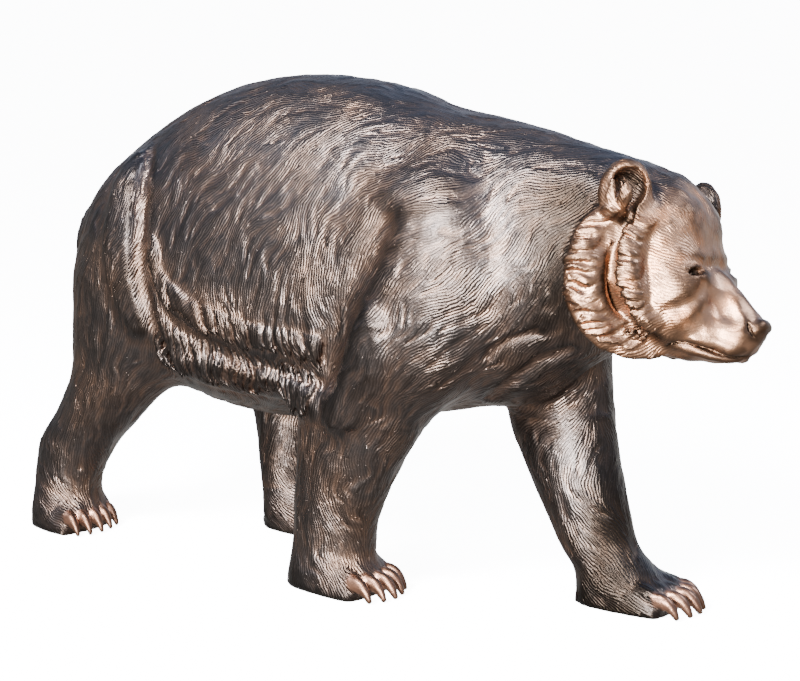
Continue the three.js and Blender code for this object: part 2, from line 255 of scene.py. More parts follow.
BODY_LOCKS = {
    "flank_ledge": (
        [[-408, 262, 775], [-372, 275, 700], [-290, 282, 650], [-150, 285, 610], [10, 283, 594],
         [96, 278, 588]],
        [[-404, 266, 712], [-352, 276, 624], [-248, 278, 575], [-122, 278, 540], [20, 275, 530],
         [100, 272, 520]],
        36, 11, 9,
    ),
    "hanging_fringe": (
        [[-404, 240, 590], [-290, 258, 548], [-130, 264, 514], [0, 264, 502], [52, 262, 498]],
        [[-404, 222, 440], [-282, 236, 424], [-126, 242, 410], [0, 242, 410], [52, 242, 408]],
        36, 8, 10,
    ),
}
# Hollows and swellings of the body on both sides, as the face's.
BODY_CREASES = {
    "haunch": (
        [[-492, 190, 955], [-479, 215, 901], [-456, 240, 805], [-443, 255, 707],
         [-428, 258, 628], [-398, 250, 530], [-370, 240, 460]],
        11, 9, 34,
    ),
    "behind_shoulder": (
        [[262, 255, 850], [212, 280, 740], [150, 278, 610], [118, 270, 510]],
        14, 6, 70,
    ),
    "under_ledge": (
        [[-408, 262, 690], [-358, 270, 592], [-250, 270, 538], [-122, 270, 504], [10, 267, 494],
         [86, 262, 488]],
        15, 8, 20,
    ),
}
BODY_ROLLS = {
    "thigh": (
        [[-528, 205, 930], [-514, 235, 820], [-500, 255, 690], [-464, 250, 560]],
        32, 7, 50,
    ),
    "upper_arm": ([[250, 262, 640], [200, 270, 520], [140, 262, 420]], 40, 10, 60),
    "fringe": (
        [[-395, 232, 468], [-285, 246, 455], [-128, 256, 442], [0, 258, 435], [50, 255, 432]],
        36, 10, 34,
    ),
}
CHEST_FOLDS = [
    ([[600, -60, 640], [540, -90, 590], [470, -96, 530], [420, -90, 480]], 13, 12, 16),
    ([[560, -110, 660], [500, -120, 640], [450, -130, 600]], 8, 8, 14),
]

# The stage, in metres and watts. Lights: place, size, power, aim, tint. The camera stands in the
# modelling frame, and its azimuth and dip are in degrees.
FLOOR_REACH = 40.0
SOFTBOXES = {
    "key": ((0.0, -4.4, 4.4), 1.6, 1900, (0.3, 0, 0.6), "#ffffff"),
    "front": ((1.8, -5.8, 0.7), 2.2, 2800, (0.1, 0, 0.5), "#fffdfa"),
    "overhead": ((3.2, 1.2, 4.0), 2.0, 340, (0.8, 0, 0.8), "#e4efff"),
    "sky": ((-3.6, -2.4, 4.2), 1.6, 40, (0, 0, 0.6), "#d8e8ff"),
}
CAMERA = {"place": (3.1, -3.835, 1.5), "azimuth": 38, "dip": 11.1, "lens": 99.0}

# Hair directions, blended over COMB_REACH: side or 0 for both, place, direction.
COMB_REACH = 85
COMB = [
    (0, [-760, 60, 800], [-0.3, 0.2, -0.9]), (0, [-640, 60, 950], [-0.8, 0.2, -0.6]),
    (0, [-450, 60, 1060], [-0.95, 0.2, -0.3]), (0, [-200, 60, 1120], [-0.95, 0.3, -0.1]),
    (0, [50, 60, 1120], [-0.9, 0.4, 0]), (0, [250, 60, 1075], [-0.9, 0.4, 0]),
    (0, [450, 60, 1045], [-0.9, 0.35, 0]), (0, [620, 60, 1015], [-0.9, 0.3, 0.1]),
    (0, [-700, 170, 800], [-0.4, 0.1, -0.9]), (0, [-640, 240, 600], [-0.25, 0, -1]),
    (0, [-480, 250, 820], [-0.3, 0, -0.95]), (0, [-470, 255, 560], [-0.1, 0, -1]),
    (0, [-760, 150, 520], [-0.1, 0, -1]), (0, [-300, 230, 930], [-0.6, 0.1, -0.8]),
    (0, [-320, 280, 730], [-0.5, 0, -0.9]), (0, [-100, 230, 980], [-0.65, 0.1, -0.75]),
    (0, [-100, 285, 770], [-0.5, 0, -0.9]), (0, [-180, 285, 600], [-0.1, 0, -1]),
    (0, [90, 250, 930], [-0.6, 0.1, -0.8]), (0, [90, 285, 700], [0.15, 0, -1]),
    (0, [60, 275, 560], [0.2, 0, -1]), (0, [-150, 240, 450], [0.05, 0, -1]),
    (0, [260, 190, 1010], [-0.85, 0.2, -0.5]), (0, [430, 180, 970], [-0.85, 0.2, -0.5]),
    (0, [280, 265, 850], [-0.8, 0, -0.6]), (0, [430, 245, 830], [-0.9, 0, -0.45]),
    (0, [380, 260, 730], [-0.95, 0, -0.3]), (0, [240, 280, 690], [-0.6, 0, -0.8]),
    (0, [420, 235, 640], [-0.75, 0, -0.65]), (0, [280, 270, 560], [-0.8, 0, -0.6]),
    (0, [560, 165, 920], [-0.7, 0.1, -0.7]), (0, [640, 100, 990], [-0.8, 0.3, -0.4]),
    (0, [655, 155, 900], [-0.6, 0.1, -0.8]), (0, [650, 165, 800], [-0.4, 0, -0.9]),
    (0, [640, 150, 690], [-0.35, 0, -0.95]), (0, [600, 170, 800], [-0.35, 0, -0.95]),
    (0, [540, 165, 680], [-0.45, 0, -0.9]), (0, [560, 40, 540], [-0.7, 0, -0.6]),
    (0, [420, 60, 430], [-0.95, 0, -0.2]), (0, [-100, 60, 345], [-1, 0, 0]),
    (0, [-500, 100, 400], [-0.6, 0, -0.8]), (RIGHT, [150, 250, 440], [-0.5, 0, -0.85]),
    (RIGHT, [100, 240, 280], [-0.35, 0, -0.95]), (RIGHT, [60, 220, 150], [0.1, 0, -1]),
    (RIGHT, [150, 170, 90], [0.9, 0, -0.4]), (LEFT, [420, 220, 480], [0.2, 0, -1]),
    (LEFT, [480, 180, 320], [0.3, 0, -0.95]), (LEFT, [560, 140, 160], [0.5, 0, -0.85]),
    (LEFT, [740, 140, 85], [0.9, 0, -0.4]), (RIGHT, [-620, 240, 400], [-0.5, 0, -0.9]),
    (RIGHT, [-740, 230, 240], [-0.35, 0, -0.95]), (RIGHT, [-720, 180, 90], [0.8, 0, -0.5]),
    (LEFT, [-450, 240, 400], [0.3, 0, -0.95]), (LEFT, [-370, 210, 200], [0, 0, -1]),
    (LEFT, [-250, 160, 80], [0.85, 0, -0.5]), (0, [760, 60, 985], [-0.95, 0.3, 0.1]),
    (0, [850, 50, 915], [-0.65, 0.2, 0.7]), (0, [900, 30, 840], [-0.5, 0.1, 0.85]),
    (0, [970, 20, 755], [-0.8, 0.1, 0.6]), (0, [870, 90, 800], [-0.9, 0.3, 0.3]),
    (0, [860, 115, 740], [-0.8, 0.3, -0.3]), (0, [870, 100, 680], [-0.8, 0.2, -0.5]),
    (0, [920, 50, 630], [-0.9, 0.1, -0.3]), (0, [760, 130, 880], [-0.7, 0.3, 0.6]),
    (0, [740, 150, 800], [-0.98, 0.2, 0]), (0, [740, 150, 720], [-0.9, 0.2, -0.4]),
    (0, [780, 110, 640], [-0.5, 0.2, -0.85]), (0, [770, 120, 930], [0, 0.2, 1]),
]


def turned(yaw=0.0, pitch=0.0, roll=0.0):
    """Rotation matrix: roll about x after pitch about y after yaw about z, in degrees."""
    turn = np.eye(3)
    for degrees, j, k in ((roll, 1, 2), (pitch, 2, 0), (yaw, 0, 1)):
        about = np.eye(3)
        about[j, j] = about[k, k] = math.cos(math.radians(degrees))
        about[k, j] = math.sin(math.radians(degrees))
        about[j, k] = -about[k, j]
        turn = turn @ about
    return turn


def head_turn(points):
    """Points of the straight head, turned about the pivot to the head's attitude."""
    return (points - HEAD_PIVOT) @ turned(yaw=HEAD_YAW, roll=-HEAD_ROLL).T + HEAD_PIVOT


def head_straight(points):
    """Points of the turned head, back in the straight head's frame."""
    return (points - HEAD_PIVOT) @ turned(yaw=HEAD_YAW, roll=-HEAD_ROLL) + HEAD_PIVOT


def unit(vectors):
    """Vectors brought to length one."""
    return vectors / np.maximum(np.linalg.norm(vectors, axis=-1, keepdims=True), 1e-9)


def mirrored(table, side):
    """A table whose y is a distance from the middle plane, on one side of it."""
    return np.asarray(table, float) * np.array([1, side, 1])


def along(table, steps):
    """A table of stations resampled on a smooth curve: a cubic through neighbouring rows."""
    rows = np.asarray(table, float)
    last = len(rows) - 1
    at = np.linspace(0, last, steps + 1)
    index = np.minimum(at.astype(int), last - 1)
    t = (at - index)[:, None]
    before, start = rows[np.maximum(index - 1, 0)], rows[index]
    end, after = rows[index + 1], rows[np.minimum(index + 2, last)]
    leave, arrive = (end - before) / 2, (after - start) / 2
    cubic = 2 * (start - end) + leave + arrive
    square = -3 * (start - end) - 2 * leave - arrive
    return ((cubic * t + square) * t + leave) * t + start


def loft(centre, across, up, down, sides, domes=(0, 0)):
    """A closed skin through ovals, centre + across cos a + (up or down) |sin a|, domed at the ends
    by ovals that shrink as a cosine while they move out as a sine."""
    for end, length in ((0, domes[0]), (-1, domes[1])):
        if not length:
            continue
        inner = 1 if end == 0 else -2
        outward = unit(centre[end] - centre[inner])
        angle = np.array([0.3, 0.55, 0.75, 0.9]) * math.pi / 2
        cap = centre[end] + outward * length * np.sin(angle)[:, None]
        scale = np.cos(angle)[:, None]
        rows = [cap, across[end] * scale, up[end] * scale, down[end] * scale]
        whole = [centre, across, up, down]
        if end == 0:
            centre, across, up, down = (np.vstack([r[::-1], w]) for r, w in zip(rows, whole))
        else:
            centre, across, up, down = (np.vstack([w, r]) for r, w in zip(rows, whole))
    angle = np.arange(sides) * 2 * math.pi / sides
    lift = np.sin(angle)[None, :, None]
    vertical = np.where(lift >= 0, up[:, None], down[:, None]) * np.abs(lift)
    rings = centre[:, None] + across[:, None] * np.cos(angle)[None, :, None] + vertical
    count = len(rings)
    points = np.vstack([rings.reshape(-1, 3), rings[0].mean(0), rings[-1].mean(0)])
    row, column = np.meshgrid(np.arange(count - 1), np.arange(sides), indexing="ij")
    after = (column + 1) % sides
    low, high = row * sides, (row + 1) * sides
    quads = np.stack([low + column, low + after, high + after, high + column], -1).reshape(-1, 4)
    ring, after = np.arange(sides), (np.arange(sides) + 1) % sides
    top = (count - 1) * sides
    start = np.stack([np.full(sides, count * sides), after, ring], -1)
    end = np.stack([np.full(sides, count * sides + 1), top + ring, top + after], -1)
    return points, quads, np.vstack([start, end])


def upright(table, steps, sides, domes):
    """A loft of upright sections: x, underside, top, half width, height of the widest place."""
    x, under, top, half, widest = along(table, steps).T
    nothing = np.zeros_like(x)
    return loft(
        np.stack([x, nothing, widest], -1),
        np.stack([nothing, half, nothing], -1),
        np.stack([nothing, nothing, top - widest], -1),
        np.stack([nothing, nothing, under - widest], -1),
        sides,
        domes,
    )


def leg(side, table):
    """A loft of level sections: z, rear x, front x, inner y, outer y."""
    z, rear, front, inner, outer = along(table, 40).T
    nothing = np.zeros_like(z)
    reach = np.stack([(front - rear) / 2, nothing, nothing], -1)
    return loft(
        np.stack([(front + rear) / 2, side * (inner + outer) / 2, z], -1),
        np.stack([nothing, (outer - inner) / 2, nothing], -1),
        reach,
        -reach,
        32,
        (LEG_DOME, LEG_DOME),
    )


def ellipsoid(centre, half, turn):
    """A ball stretched to its half sizes and turned."""
    angle = np.linspace(0, math.pi, 17)
    nothing = np.zeros_like(angle)
    centres = np.stack([nothing, nothing, -np.cos(angle)], -1)[1:-1]
    radius = np.sin(angle)[1:-1]
    across = np.stack([radius, 0 * radius, 0 * radius], -1)
    up = np.stack([0 * radius, radius, 0 * radius], -1)
    points, quads, triangles = loft(centres, across, up, -up, 24)
    return (points * np.asarray(half)) @ turn.T + np.asarray(centre), quads, triangles


def swelling(centre, half, pitch, side):
    """An ellipsoid on one side of the figure."""
    x, y, z = centre
    return ellipsoid([x, side * y, z], half, turned(pitch=pitch))


def roll(route, outward, width, depth, ends=0.45):
    """A tube along a route, flattened: its half width on the skin, its half depth off it."""
    way = unit(np.gradient(route, axis=0))
    across = unit(np.cross(way, outward))
    out = np.cross(across, way)
    swell = (ends + (1 - ends) * np.sin(np.linspace(0, math.pi, len(route))) ** 0.7)[:, None]
    lift = out * depth * swell
    return loft(route, across * width * swell, lift, -lift, 14, (width * ends, width * ends))


def ridge(table, side, width, depth):
    """A roll along a curve that stands off sideways."""
    route = mirrored(along(table, 40), side)
    outward = unit(np.array([RUFF_TILT, side, 0.0]))
    return roll(route, np.tile(outward, (len(route), 1)), width, depth, 0.55)


def curve(start, middle, end, steps):
    """Points and directions of a curve drawn from start to end towards a middle point."""
    t = np.linspace(0, 1, steps + 1)[:, None]
    start, middle, end = (np.asarray(p, float) for p in (start, middle, end))
    points = (1 - t) ** 2 * start + 2 * t * (1 - t) * middle + t**2 * end
    ways = 2 * (1 - t) * (middle - start) + 2 * t * (end - middle)
    return points, unit(ways), t


def lock(route, outward, width, thickness):
    """A lock of fur: a flat tube that swells from its root and thins to its tip."""
    t = np.linspace(0, 1, len(route))[:, None]
    ways = unit(np.gradient(route, axis=0))
    across = unit(np.cross(ways, outward))
    out = np.cross(across, ways)
    swell = 0.5 + 0.5 * np.sin(math.pi * t**0.8) - 0.28 * t**4
    lift = out * thickness * swell
    return loft(route, across * width * swell, lift, -lift, 12, (width * 0.3, width * 0.5))


def toe(offset, reach):
    """An arched finger from the pad to the claw's root."""
    start = TOE["start"] + reach
    points, _, t = curve(
        [start, offset * 0.9, TOE["knuckle"] - 8],
        [start + TOE["length"] / 2, offset, TOE["knuckle"]],
        [start + TOE["length"], offset * 1.04, TOE["tip"]],
        10,
    )
    radius = TOE["radius"] * (1 - 0.25 * t**2)
    up = radius * np.array([0, 0, 1.0])
    return loft(points, radius * np.array([0, 0.92, 0]), up, -up, 20, (8, 10))


def claw(offset, reach):
    """A curved horn that thins to its point."""
    start = TOE["start"] + reach + TOE["length"] - 16
    points, ways, t = curve(
        [start, offset * 1.03, CLAW["root_height"]],
        [start + CLAW["length"] * 0.6, offset * 1.06, CLAW["root_height"] + CLAW["arch"]],
        [start + CLAW["length"], offset * 1.08, CLAW["tip_height"]],
        16,
    )
    radius = CLAW["root"] + (CLAW["tip"] - CLAW["root"]) * t**2.2
    up = np.stack([-ways[:, 2], 0 * ways[:, 0], ways[:, 0]], -1) * radius * 1.1
    return loft(points, radius * np.array([0, 0.85, 0]), up, -up, 14, (3, 2))


def pad():
    """The paw's body: an arched block that is widest near the ground."""
    x, half, height = along(PAD, 20).T
    nothing = np.zeros_like(x)
    return loft(
        np.stack([x, nothing, height * PAD_WIDEST], -1),
        np.stack([nothing, half, nothing], -1),
        np.stack([nothing, nothing, height * (1 - PAD_WIDEST)], -1),
        np.stack([nothing, nothing, -height / 2], -1),
        32,
        PAD_DOMES,
    )


def moved(shape, place):
    """A skin with its points carried by a function."""
    points, quads, triangles = shape
    return place(points), quads, triangles


def joined(old, new, blend):
    """The smaller of two distances, less the square of how far their difference falls short of
    the blend width over four blend widths, which fills the crease between two shapes."""
    overlap = np.maximum(blend - np.abs(old - new), 0) / blend
    return np.minimum(old, new) - overlap**2 * blend / 4


class Clay:
    """A block of space that holds the distance to the surface at each voxel, negative inside."""

    def __init__(self, low, high, voxel, reach):
        self.voxel, self.reach = voxel, reach
        self.low = np.floor(np.asarray(low) / voxel).astype(int)
        self.shape = np.ceil(np.asarray(high) / voxel).astype(int) - self.low
        self.distance = np.full(self.shape, reach, np.float32)
        self.grooves = []

    def measure(self, shape, reach=None):
        """Distances to a closed skin inside the part of the block that it reaches."""
        reach = reach or self.reach
        points, quads, triangles = shape
        margin = reach + 2 * self.voxel
        low = np.floor((points.min(0) - margin) / self.voxel).astype(int)
        high = np.ceil((points.max(0) + margin) / self.voxel).astype(int)
        low = np.clip(low - self.low, 0, self.shape)
        high = np.clip(high - self.low, 0, self.shape)
        grid = openvdb.FloatGrid.createLevelSetFromPolygons(
            points.astype(np.float32),
            triangles=triangles.astype(np.uint32),
            quads=quads.astype(np.uint32),
            transform=openvdb.createLinearTransform(voxelSize=self.voxel),
            halfWidth=reach / self.voxel,
        )
        block = np.empty(high - low, np.float32)
        grid.copyToArray(block, ijk=tuple(int(v) for v in low + self.low))
        block[block >= reach * 0.999] = self.reach
        return tuple(slice(a, b) for a, b in zip(low, high)), block

    def add(self, shape, blend, reach=None):
        """Presses a skin on, filling the crease between old and new over the blend width."""
        place, new = self.measure(shape, reach)
        self.distance[place] = joined(self.distance[place], new, blend)

    def cut(self, shape, blend):
        """Scoops a skin's inside out, rounding the new edge over the blend width."""
        place, new = self.measure(shape)
        self.distance[place] = -joined(-self.distance[place], new, blend)

    def room(self, other):
        """The part of this block that another one takes up."""
        start = other.low - self.low
        return tuple(slice(a, b) for a, b in zip(start, start + other.shape))

    def merge(self, other, blend):
        """Presses another block of clay on."""
        place = self.room(other)
        self.distance[place] = joined(self.distance[place], other.distance, blend)

    def at(self, points):
        """Distances at points, weighed between the eight voxels around each."""
        place = np.clip(points / self.voxel - self.low, 0, self.shape - 1.001)
        cell = place.astype(int)
        part = place - cell
        total = np.zeros(len(points))
        for corner in np.ndindex(2, 2, 2):
            weight = np.prod(np.where(corner, part, 1 - part), axis=1)
            x, y, z = (cell + corner).T
            total += weight * self.distance[x, y, z]
        return total

    def outward(self, points):
        """Directions away from the clay: the way the distance grows fastest."""
        steps = np.eye(3) * self.voxel * 1.5
        rises = [self.at(points + step) - self.at(points - step) for step in steps]
        return unit(np.stack(rises, -1))

    def onto(self, points, lift=0.0):
        """Points moved to the skin, or to a height above it."""
        for _ in range(6):
            points = points - (self.at(points) - lift)[:, None] * self.outward(points) * 0.9
        return points

    def trace(self, table, place=None):
        """A route drawn on the skin, and the directions away from it."""
        route = along(table, ROUTE_STEPS)
        route = self.onto(place(route) if place else route)
        return route, self.outward(route)

    def crease(self, table, width, depth, blend, place=None):
        """Scoops a groove along a route on the skin."""
        route, out = self.trace(table, place)
        self.cut(roll(route, out, width, depth), blend)
        self.grooves.append(route - out * depth / 2)

    def swell(self, table, width, depth, blend, place=None):
        """Presses a roll along a route on the skin."""
        self.add(roll(*self.trace(table, place), width, depth), blend)

    def lay(self, roots, tips, count, width, thickness, seed, place=None):
        """Lays a row of locks on the skin, rooted in it and lifted at the tips."""
        draw = np.random.default_rng(seed)
        slide = draw.uniform(-LOCK_SLIDE, LOCK_SLIDE, (count, 1)) / count
        at = (np.arange(count)[:, None] + 0.5) / count + slide
        clump = math.tau * count / 7 * at + draw.uniform(0, math.tau)
        length = 1 + 0.13 * np.sin(clump) + draw.uniform(*LOCK_LENGTHS, (count, 1))
        bend = 0.1 * np.sin(clump[:, 0] * 0.7) + draw.uniform(-LOCK_BEND, LOCK_BEND, count)
        wave = 0.05 + 0.05 * np.sin(clump[:, 0] * 0.4)
        bulk = draw.uniform(0.8, 1.2, count)
        fine = 200
        pick = np.clip(at[:, 0] * fine, 0, fine).astype(int)
        start, end = along(roots, fine)[pick], along(tips, fine)[pick]
        end = start + (end - start) * length
        t = np.linspace(0, 1, 9)[:, None]
        side = unit(np.cross(end - start, [0, 1, 0]))
        sway = np.sin(math.pi * t) * bend[:, None, None]
        sway = sway + np.sin(math.tau * t) * wave[:, None, None]
        sway = sway * np.linalg.norm(end - start, axis=1)[:, None, None]
        routes = start[:, None] + (end - start)[:, None] * t + side[:, None] * sway
        flat = routes.reshape(-1, 3)
        flat = flat + np.sign(flat[:, 1:2]) * [0, CLEARANCE, 0]
        flat = self.onto(place(flat) if place else flat, 0.35 * thickness)
        outward = self.outward(flat).reshape(routes.shape)
        routes = flat.reshape(routes.shape) + outward * thickness * (t**2 * 0.9 - 0.5)
        for i in range(count):
            shape = lock(routes[i], outward[i], width * bulk[i], thickness * bulk[i])
            self.add(shape, BLENDS["lock"], LOCK_REACH)

    def skin(self):
        """The surface where the distance is nought, as points and quads that face outwards."""
        grid = openvdb.FloatGrid(self.reach)
        grid.copyFromArray(self.distance, ijk=tuple(int(v) for v in self.low))
        grid.transform = openvdb.createLinearTransform(voxelSize=self.voxel)
        points, quads = grid.convertToQuads(0)
        return points, quads[:, ::-1]


def model_ear(press, scoop, side):
    """One ear: a rounded shell with a dish scooped from its front."""
    x, y, z = EAR_CENTRES[side]
    turn = turned(roll=-side * EAR_PITCH, yaw=-side * EAR_YAW)
    press(ellipsoid([x, side * y, z], EAR_HALF, turn), BLENDS["ear"])
    out = turn @ (np.array(EAR_DISH_OUT) * [1, side, 1])
    scoop(ellipsoid(np.array([x, side * y, z]) + out, EAR_DISH, turn), BLENDS["ear_dish"])


def model_head(voxel):
    """The head in its own block: skull, face, ears, ruffs and their locks."""
    clay = Clay(*HEAD_BLOCK, voxel, HEAD_REACH)

    def press(shape, blend):
        """Presses on a skin drawn on the straight head."""
        clay.add(moved(shape, head_turn), blend)

    def scoop(shape, blend):
        """Scoops out a skin drawn on the straight head."""
        clay.cut(moved(shape, head_turn), blend)

    dark = []
    press(upright(SKULL, 60, 48, SKULL_DOMES), BLENDS["skull"])
    for side in (RIGHT, LEFT):
        for centre, half, pitch, blend in FACE.values():
            press(swelling(centre, half, pitch, side), blend)
        for crest, width, depth in RUFFS.values():
            press(ridge(crest, side, width, depth), BLENDS["ruff"])
    centre, half, pitch, blend = NOSE
    press(ellipsoid(centre, half, turned(pitch=pitch)), blend)
    for side in (RIGHT, LEFT):
        for table, width, depth, blend in FACE_ROLLS.values():
            clay.swell(mirrored(table, side), width, depth, blend, head_turn)
        model_ear(press, scoop, side)
        for order, row in enumerate(HEAD_LOCKS.values()):
            ends = [mirrored(table, side) for table in row[:2]]
            clay.lay(*ends, *row[2:], HEAD_SEED + order, head_turn)
        for table, width, depth, blend in FACE_CREASES.values():
            clay.crease(mirrored(table, side), width, depth, blend, head_turn)
        dark += zip(clay.grooves[-len(FACE_CREASES):], DARK_REACH)
        at = clay.onto(head_turn(mirrored([EYE["at"]], side)))
        out = clay.outward(at)[0]
        turn = turned(yaw=HEAD_YAW - side * EYE["yaw"], pitch=EYE["pitch"])
        clay.cut(ellipsoid(at[0], EYE["socket"], turn), BLENDS["socket"])
        ball = ellipsoid(at[0] - out * EYE["sunk"], [EYE["ball"]] * 3, np.eye(3))
        clay.add(ball, BLENDS["eyeball"])
        spots = at - out * 6 + np.array([[-14, 0, -4], [2, -3 * side, 0], [16, -10 * side, 2]])
        dark.append((spots, EYE["shade"]))
    clay.grooves = dark
    return clay


def model_paw(name, voxel):
    """One paw in its own block, pad and toes, and its five claws in another."""
    side, x, y, turn, stretch = PAWS[name]
    way = turned(yaw=side * turn)

    def place(points):
        """Points of a paw that points along x, turned to its side, stretched and moved."""
        flat = points * np.array([1, side, 1]) @ way.T
        return flat * np.array([stretch, 1, 1]) + np.array([x, side * y, 0])

    corners = [np.array([x, side * y, 0]) + corner for corner in PAW_BLOCK]
    paw = Clay(*corners, voxel, PAW_REACH)
    claws = Clay(*corners, voxel, PAW_REACH)
    paw.add(moved(pad(), place), BLENDS["pad"])
    for offset, reach in zip(TOE_OFFSETS, TOE_REACH):
        paw.add(moved(toe(offset, reach), place), BLENDS["toe"])
        claws.add(moved(claw(offset, reach), place), BLENDS["claw"])
    return paw, claws


def model_bear(voxel):
    """The whole figure: its clay, cut flat at the ground, and the blocks of the head and claws."""
    clay = Clay(*BODY_BLOCK, voxel, BODY_REACH)
    clay.add(upright(TORSO, 80, 64, TORSO_DOMES), BLENDS["torso"])
    for centre, half, lean, side in MASSES:
        clay.add(swelling(centre, half, lean, side), BLENDS["mass"])
    for side, table in LEGS.values():
        clay.add(leg(side, table), BLENDS["leg"])
    centre, half, pitch, blend = TAIL
    clay.add(ellipsoid(centre, half, turned(pitch=pitch)), blend)
    claws = []
    for name in PAWS:
        paw, horns = model_paw(name, voxel)
        clay.merge(paw, BLENDS["paw"])
        clay.merge(horns, BLENDS["claws"])
        claws.append(horns)
    for side in (RIGHT, LEFT):
        for table, width, depth, blend in BODY_ROLLS.values():
            clay.swell(mirrored(table, side), width, depth, blend)
        for table, width, depth, blend in BODY_CREASES.values():
            clay.crease(mirrored(table, side), width, depth, blend)
        for order, row in enumerate(BODY_LOCKS.values()):
            ends = [mirrored(table, side) for table in row[:2]]
            clay.lay(*ends, *row[2:], BODY_SEED + order)
    for table, width, depth, blend in CHEST_FOLDS:
        clay.crease(table, width, depth, blend)
    head = model_head(voxel)
    body = Clay(*HEAD_BLOCK, voxel, BODY_REACH)
    body.distance[:] = clay.distance[clay.room(body)]
    clay.merge(head, BLENDS["head"])
    height = (np.arange(clay.shape[2]) + clay.low[2]) * voxel
    clay.distance = np.maximum(clay.distance, -height.astype(np.float32))
    return clay, body, head, claws


def drift(points, size, seed):
    """A smooth field between about -1 and 1 that changes over a size: summed plane waves."""
    draw = np.random.default_rng(seed)
    waves = unit(draw.normal(size=(7, 3))) * draw.uniform(0.7, 1.5, (7, 1)) * math.tau / size
    phases = draw.uniform(0, math.tau, 7)
    return np.sin(points @ waves.T + phases).sum(1) / 3.0


def comb(points, normals):
    """Hair directions on the skin: the set ones, weighed by exp(-distance^2 / 2 reach^2), laid
    flat on it and made to waver."""
    total = np.zeros_like(points)
    for side, (x, y, z), way in COMB:
        for this in (RIGHT, LEFT):
            if side not in (0, this):
                continue
            gap = points - np.array([x, this * y, z])
            weight = np.exp(-(gap**2).sum(1) / (2 * COMB_REACH**2)) + 1e-12
            total += weight[:, None] * np.array(way) * [1, this, 1]
    flat = total - normals * (total * normals).sum(1)[:, None]
    flat = unit(flat)
    side = np.cross(normals, flat)
    angle = np.radians(20 * drift(points, 190, 1) + 9 * drift(points, 70, 2))[:, None]
    return flat * np.cos(angle) + side * np.sin(angle)


def tufts(points, normals, ways, size, length, width, seed):
    """Heights of overlapping tufts, from 0 to 1: teardrops that rise along the hair and drop at
    their tips, one or two to each cell of space, where the tallest one shows."""
    draw = np.random.default_rng(seed)
    table = draw.random((TUFT_ROWS, 2, 4)).astype(np.float32)
    place = (points / size).astype(np.float32)
    cell = np.floor(place).astype(np.int64)
    part = place - cell
    across = np.cross(normals, ways).astype(np.float32)
    ways, normals = ways.astype(np.float32), normals.astype(np.float32)
    height = np.zeros(len(points), np.float32)
    for step in np.ndindex(3, 3, 3):
        step = np.array(step) - 1
        x, y, z = ((cell + step) * TUFT_PICKS).T
        index = (x ^ y ^ z) % TUFT_ROWS
        for choice in range(2):
            pick = table[index, choice]
            gap = (part - step - pick[:, :3]) * size
            u = np.einsum("ij,ij->i", gap, ways) / length
            w = np.einsum("ij,ij->i", gap, normals) / (size * 0.5)
            v = np.einsum("ij,ij->i", gap, across) / (width * (0.75 + 0.5 * pick[:, 3]))
            v = v + 0.3 * (pick[:, 3] - 0.5) * u * u
            narrow = 1 - np.clip(u, 0, 1) ** 2 * 0.75
            dome = 1 - (v / narrow) ** 2 - w * w
            rise = np.clip((u + 1) * 0.62, 0, 1) * np.clip((1 - u) * 4, 0, 1)
            np.maximum(height, dome * rise * (0.7 + 0.3 * pick[:, 3]), out=height)
    return height


def well_inside(points, low, high):
    """Which points lie in a block of space and not close to its faces."""
    low, high = np.array(low) + BLOCK_EDGE, np.array(high) - BLOCK_EDGE
    return np.all((points > low) & (points < high), axis=1)


def normals_of(points, faces):
    """Outward directions at the points: the faces' own, weighed by their areas."""
    corners = points[faces]
    if faces.shape[1] == 4:
        face = np.cross(corners[:, 2] - corners[:, 0], corners[:, 3] - corners[:, 1])
    else:
        face = np.cross(corners[:, 1] - corners[:, 0], corners[:, 2] - corners[:, 0])
    flat = faces.ravel()
    repeat = np.repeat(face, faces.shape[1], axis=0)
    return unit(np.stack([np.bincount(flat, repeat[:, i], len(points)) for i in range(3)], -1))


def smoothed(values, faces, rounds):
    """Values averaged with their neighbours' around each face, a number of times."""
    count = np.bincount(faces.ravel(), minlength=len(values)) * faces.shape[1]
    for _ in range(rounds):
        if values.ndim == 1:
            sums = np.repeat(values[faces].sum(1), faces.shape[1])
            values = np.bincount(faces.ravel(), sums, len(values)) / count
        else:
            columns = [smoothed(column, faces, 1) for column in values.T]
            values = np.stack(columns, -1)
    return values


def smoothstep(low, high, values):
    """0 below low, 1 above high, and an even rise between."""
    t = np.clip((values - low) / (high - low), 0, 1)
    return t * t * (3 - 2 * t)


def srgb(code):
    """A hex colour as linear red, green and blue."""
    values = [int(code[i : i + 2], 16) / 255 for i in (1, 3, 5)]
    return tuple(v / 12.92 if v <= 0.04045 else ((v + 0.055) / 1.055) ** 2.4 for v in values)


def node(tree, kind, settings=None, inputs=None):
    """Adds a node, sets its properties, and gives its inputs their values or links."""
    made = tree.nodes.new(kind)
    for name, value in (settings or {}).items():
        setattr(made, name, value)
    for name, value in (inputs or {}).items():
        if isinstance(value, bpy.types.NodeSocket):
            tree.links.new(value, made.inputs[name])
        else:
            made.inputs[name].default_value = value
    return made


def mesh_of(name, points, faces):
    """A mesh from numpy points and faces of one kind, filled in as whole arrays."""
    mesh = bpy.data.meshes.new(name)
    mesh.vertices.add(len(points))
    mesh.vertices.foreach_set("co", points.astype(np.float32).ravel())
    mesh.loops.add(faces.size)
    mesh.loops.foreach_set("vertex_index", faces.astype(np.int32).ravel())
    mesh.polygons.add(len(faces))
    starts = np.arange(0, faces.size, faces.shape[1], dtype=np.int32)
    mesh.polygons.foreach_set("loop_start", starts)
    mesh.update(calc_edges=True)
    return mesh


